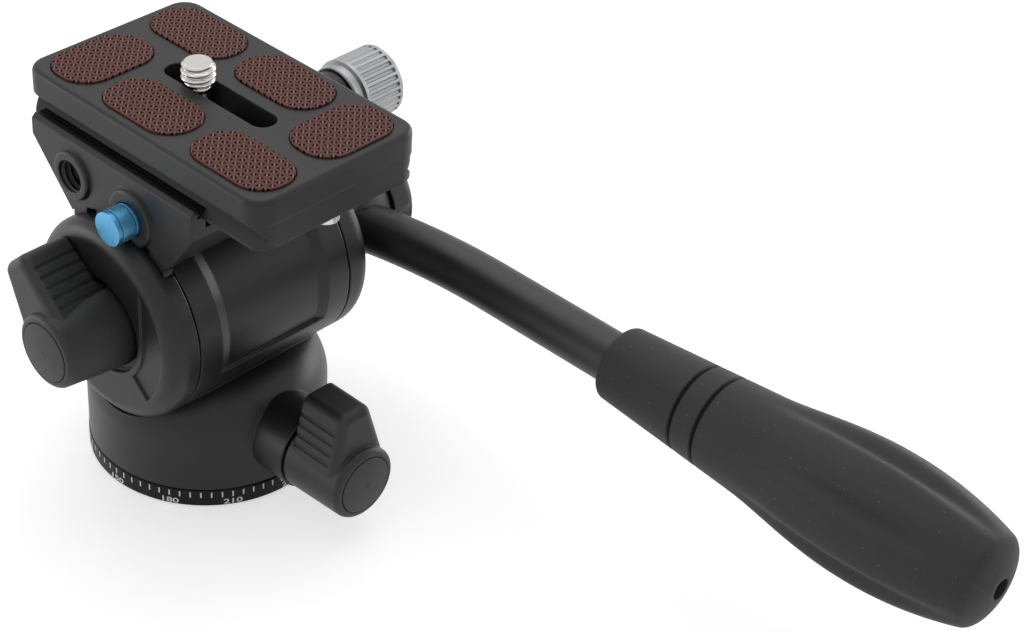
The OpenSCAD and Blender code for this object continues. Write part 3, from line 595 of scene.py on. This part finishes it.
def grip_stations(length):
    """Distances from the front at which the grip's surface is drawn."""
    step = 0.5*MM
    fine = 0.1*MM
    front_steps = 10
    groove_steps = 6
    end_steps = 30
    hole_r = GRIP_HOLE[0]
    last = length - GRIP_DOME_R + math.sqrt(GRIP_DOME_R**2 - hole_r**2)
    places = [i*step for i in range(int(last/step) + 1)]
    places += [i*fine for i in range(1, front_steps + 1)]
    places += [
        middle + i*fine for middle in GRIP_GROOVES for i in range(-groove_steps, groove_steps + 1)
    ]
    places += [last - i*fine for i in range(end_steps + 1)]
    return sorted(set(round(place, 6) for place in places))


def soft_grip():
    """The rubber grip with soft valleys, two grooves, its bore and the hole in its end."""
    around = 180
    play = 0.05*MM
    bore_spare = 0.5*MM
    hole_mouth = 0.2*MM
    low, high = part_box("grip")
    tube_low, tube_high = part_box("handle_tube")
    length = high[1] - low[1]
    widest = (high[0] - low[0])/2
    bore_r = (tube_high[2] - tube_low[2])/2 + play
    hole_r, hole_l = GRIP_HOLE
    middle = Vector(((low[0] + high[0])/2, high[1], (low[2] + high[2])/2))
    bore_l = high[1] - tube_low[1] + bore_spare
    profile = [(bore_l, bore_r, False), (0.0, bore_r, False)]
    profile += [(along, grip_radius(along, length, widest), True) for along in grip_stations(length)]
    profile += [(length - hole_mouth, hole_r, False), (length - hole_l, hole_r, False)]
    bm = bmesh.new()
    rings = []
    for along, radius, lobed in profile:
        ring = []
        for i in range(around):
            angle = 2*math.pi*i/around
            here = radius - valley_drop(along, angle) if lobed else radius
            ring.append(bm.verts.new(middle + Vector((here*math.cos(angle), -along, here*math.sin(angle)))))
        rings.append(ring)
    for first, second in zip(rings, rings[1:]):
        for i in range(around):
            j = (i + 1) % around
            bm.faces.new((first[i], first[j], second[j], second[i])).smooth = True
    bm.faces.new(rings[0])
    bm.faces.new(rings[-1])
    bmesh.ops.recalc_face_normals(bm, faces=bm.faces[:])
    piece = mesh_piece("soft_grip", bm, grip_rubber, "handle")
    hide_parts("grip")


soft_grip()


# Collar where the handle hub meets its lock knob

COLLAR_START = 4.5*MM
COLLAR_RAMP = 3.5*MM
COLLAR_RAMP_STEPS = 8
COLLAR_SINK = 0.4*MM
COLLAR_SOFT = 0.5*MM
COLLAR_BELOW_KNOB = 0.2*MM
COLLAR_SIDES = 72


def hub_collar():
    """The hub swells to the size of its lock knob in one smooth round."""
    low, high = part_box("handle_hub")
    knob_low, knob_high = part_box("handle_knob")
    axis_z = (low[2] + high[2])/2
    hub_radius = (high[2] - low[2])/2
    rise = (knob_high[2] - knob_low[2])/2 - COLLAR_BELOW_KNOB - hub_radius
    start = low[0] + COLLAR_START
    profile = [(start, hub_radius - COLLAR_SINK)]
    for step in range(COLLAR_RAMP_STEPS + 1):
        part = step/COLLAR_RAMP_STEPS
        profile.append((start + part*COLLAR_RAMP, hub_radius + rise*(1 - math.cos(math.pi*part))/2))
    profile.append((high[0] - COLLAR_SOFT, hub_radius + rise))
    profile.append((high[0], hub_radius + rise - COLLAR_SOFT))
    profile.append((high[0], hub_radius - COLLAR_SINK))
    bm = bmesh.new()
    turns = [2*math.pi*i/COLLAR_SIDES for i in range(COLLAR_SIDES)]
    rings = [
        [bm.verts.new((x, r*math.cos(turn), axis_z + r*math.sin(turn))) for turn in turns]
        for x, r in profile
    ]
    for first, second in zip(rings, rings[1:] + rings[:1]):
        for i in range(COLLAR_SIDES):
            j = (i + 1) % COLLAR_SIDES
            bm.faces.new((first[i], first[j], second[j], second[i])).smooth = True
    bmesh.ops.recalc_face_normals(bm, faces=bm.faces[:])
    mesh_piece("hub_collar", bm, tube_black, "handle")


hub_collar()


# Camera at the photo's angle

AZIMUTH = math.radians(-49.16)
ELEVATION = math.radians(36.04)
ROLL = math.radians(4.09)
FOCAL_PIXELS = 2370.99
PICTURE_WIDTH = 1024
SENSOR = 36.0
back = Vector((
    math.sin(AZIMUTH)*math.cos(ELEVATION), -math.cos(AZIMUTH)*math.cos(ELEVATION), math.sin(ELEVATION)
))
level = Vector((math.cos(AZIMUTH), math.sin(AZIMUTH), 0))
upright = back.cross(level)
right = level*math.cos(ROLL) + upright*math.sin(ROLL)
up = back.cross(right)

camera_data = bpy.data.cameras.new("camera")
camera_data.sensor_width = SENSOR
camera_data.lens = SENSOR*FOCAL_PIXELS/PICTURE_WIDTH
camera_data.clip_start = 0.01
camera = bpy.data.objects.new("camera", camera_data)
bpy.context.scene.collection.objects.link(camera)
turn = Matrix((right, up, back)).transposed().to_4x4()
camera.matrix_world = Matrix.Translation(CAMERA_PLACE) @ turn
bpy.context.scene.camera = camera


# Studio

FLOOR_HALF = 1.5
FLOOR_GAP = 0.1*MM
FLOOR_COLOR = (0.8, 0.8, 0.8, 1)
FLOOR_GLOW = 0.55
ROOM_LIGHT = 0.45
WHITE = (1, 1, 1, 1)


def soft_box(name, place, aim, width, height, power):
    """A large soft light."""
    light = bpy.data.lights.new(name, "AREA")
    light.shape = "RECTANGLE"
    light.size = width
    light.size_y = height
    light.energy = power
    lamp = bpy.data.objects.new(name, light)
    bpy.context.scene.collection.objects.link(lamp)
    direction = Vector(aim) - Vector(place)
    lamp.matrix_world = Matrix.Translation(place) @ direction.to_track_quat("-Z", "Y").to_matrix().to_4x4()


def shown_background(tree, lighting, background):
    """Shows one shader to the camera and in reflections, and lights the head with the other."""
    path = add(tree, "ShaderNodeLightPath")
    seen = math_node(tree, "MAXIMUM", path.outputs["Is Camera Ray"], path.outputs["Is Glossy Ray"])
    seen = math_node(tree, "MAXIMUM", seen, path.outputs["Is Transmission Ray"])
    mix = add(tree, "ShaderNodeMixShader")
    tree.links.new(seen, mix.inputs[0])
    tree.links.new(lighting, mix.inputs[1])
    tree.links.new(background, mix.inputs[2])
    return mix.outputs[0]


def floor():
    """Pale floor under the head, a hair below it so that the two faces don't fight."""
    bm = bmesh.new()
    bmesh.ops.create_grid(bm, size=FLOOR_HALF)
    mesh = bpy.data.meshes.new("floor")
    bm.to_mesh(mesh)
    bm.free()
    mat, tree, shader = new_material("floor")
    shader.inputs["Base Color"].default_value = FLOOR_COLOR
    shader.inputs["Roughness"].default_value = 0.8
    glow = add(tree, "ShaderNodeEmission", Strength=FLOOR_GLOW)
    pale = add(tree, "ShaderNodeAddShader")
    tree.links.new(shader.outputs[0], pale.inputs[0])
    tree.links.new(glow.outputs[0], pale.inputs[1])
    shown = shown_background(tree, shader.outputs[0], pale.outputs[0])
    tree.links.new(shown, tree.nodes["Material Output"].inputs["Surface"])
    mesh.materials.append(mat)
    plane = bpy.data.objects.new("floor", mesh)
    plane.location.z = -FLOOR_GAP
    bpy.context.scene.collection.objects.link(plane)


def surroundings():
    """White room, dimmer as a light than it looks."""
    world = bpy.data.worlds.new("studio")
    bpy.context.scene.world = world
    world.use_nodes = True
    tree = world.node_tree
    sky = tree.nodes["Background"]
    sky.inputs["Color"].default_value = WHITE
    sky.inputs["Strength"].default_value = ROOM_LIGHT
    white = add(tree, "ShaderNodeBackground", Color=WHITE, Strength=1.0)
    shown = shown_background(tree, sky.outputs[0], white.outputs[0])
    tree.links.new(shown, tree.nodes["World Output"].inputs["Surface"])


floor()
surroundings()
soft_box("top_light", place=(0.15, 0.2, 0.70), aim=(0.0, -0.03, 0.04), width=0.7, height=0.7, power=1.7)
soft_box("left_light", place=(-0.5, 0.6, 0.10), aim=(-0.02, 0.02, 0.04), width=0.6, height=0.18, power=1.4)
soft_box("right_light", place=(0.6, -0.12, 0.15), aim=(0.0, -0.02, 0.03), width=0.4, height=0.3, power=1.2)
bpy.context.scene.view_settings.view_transform = "Standard"
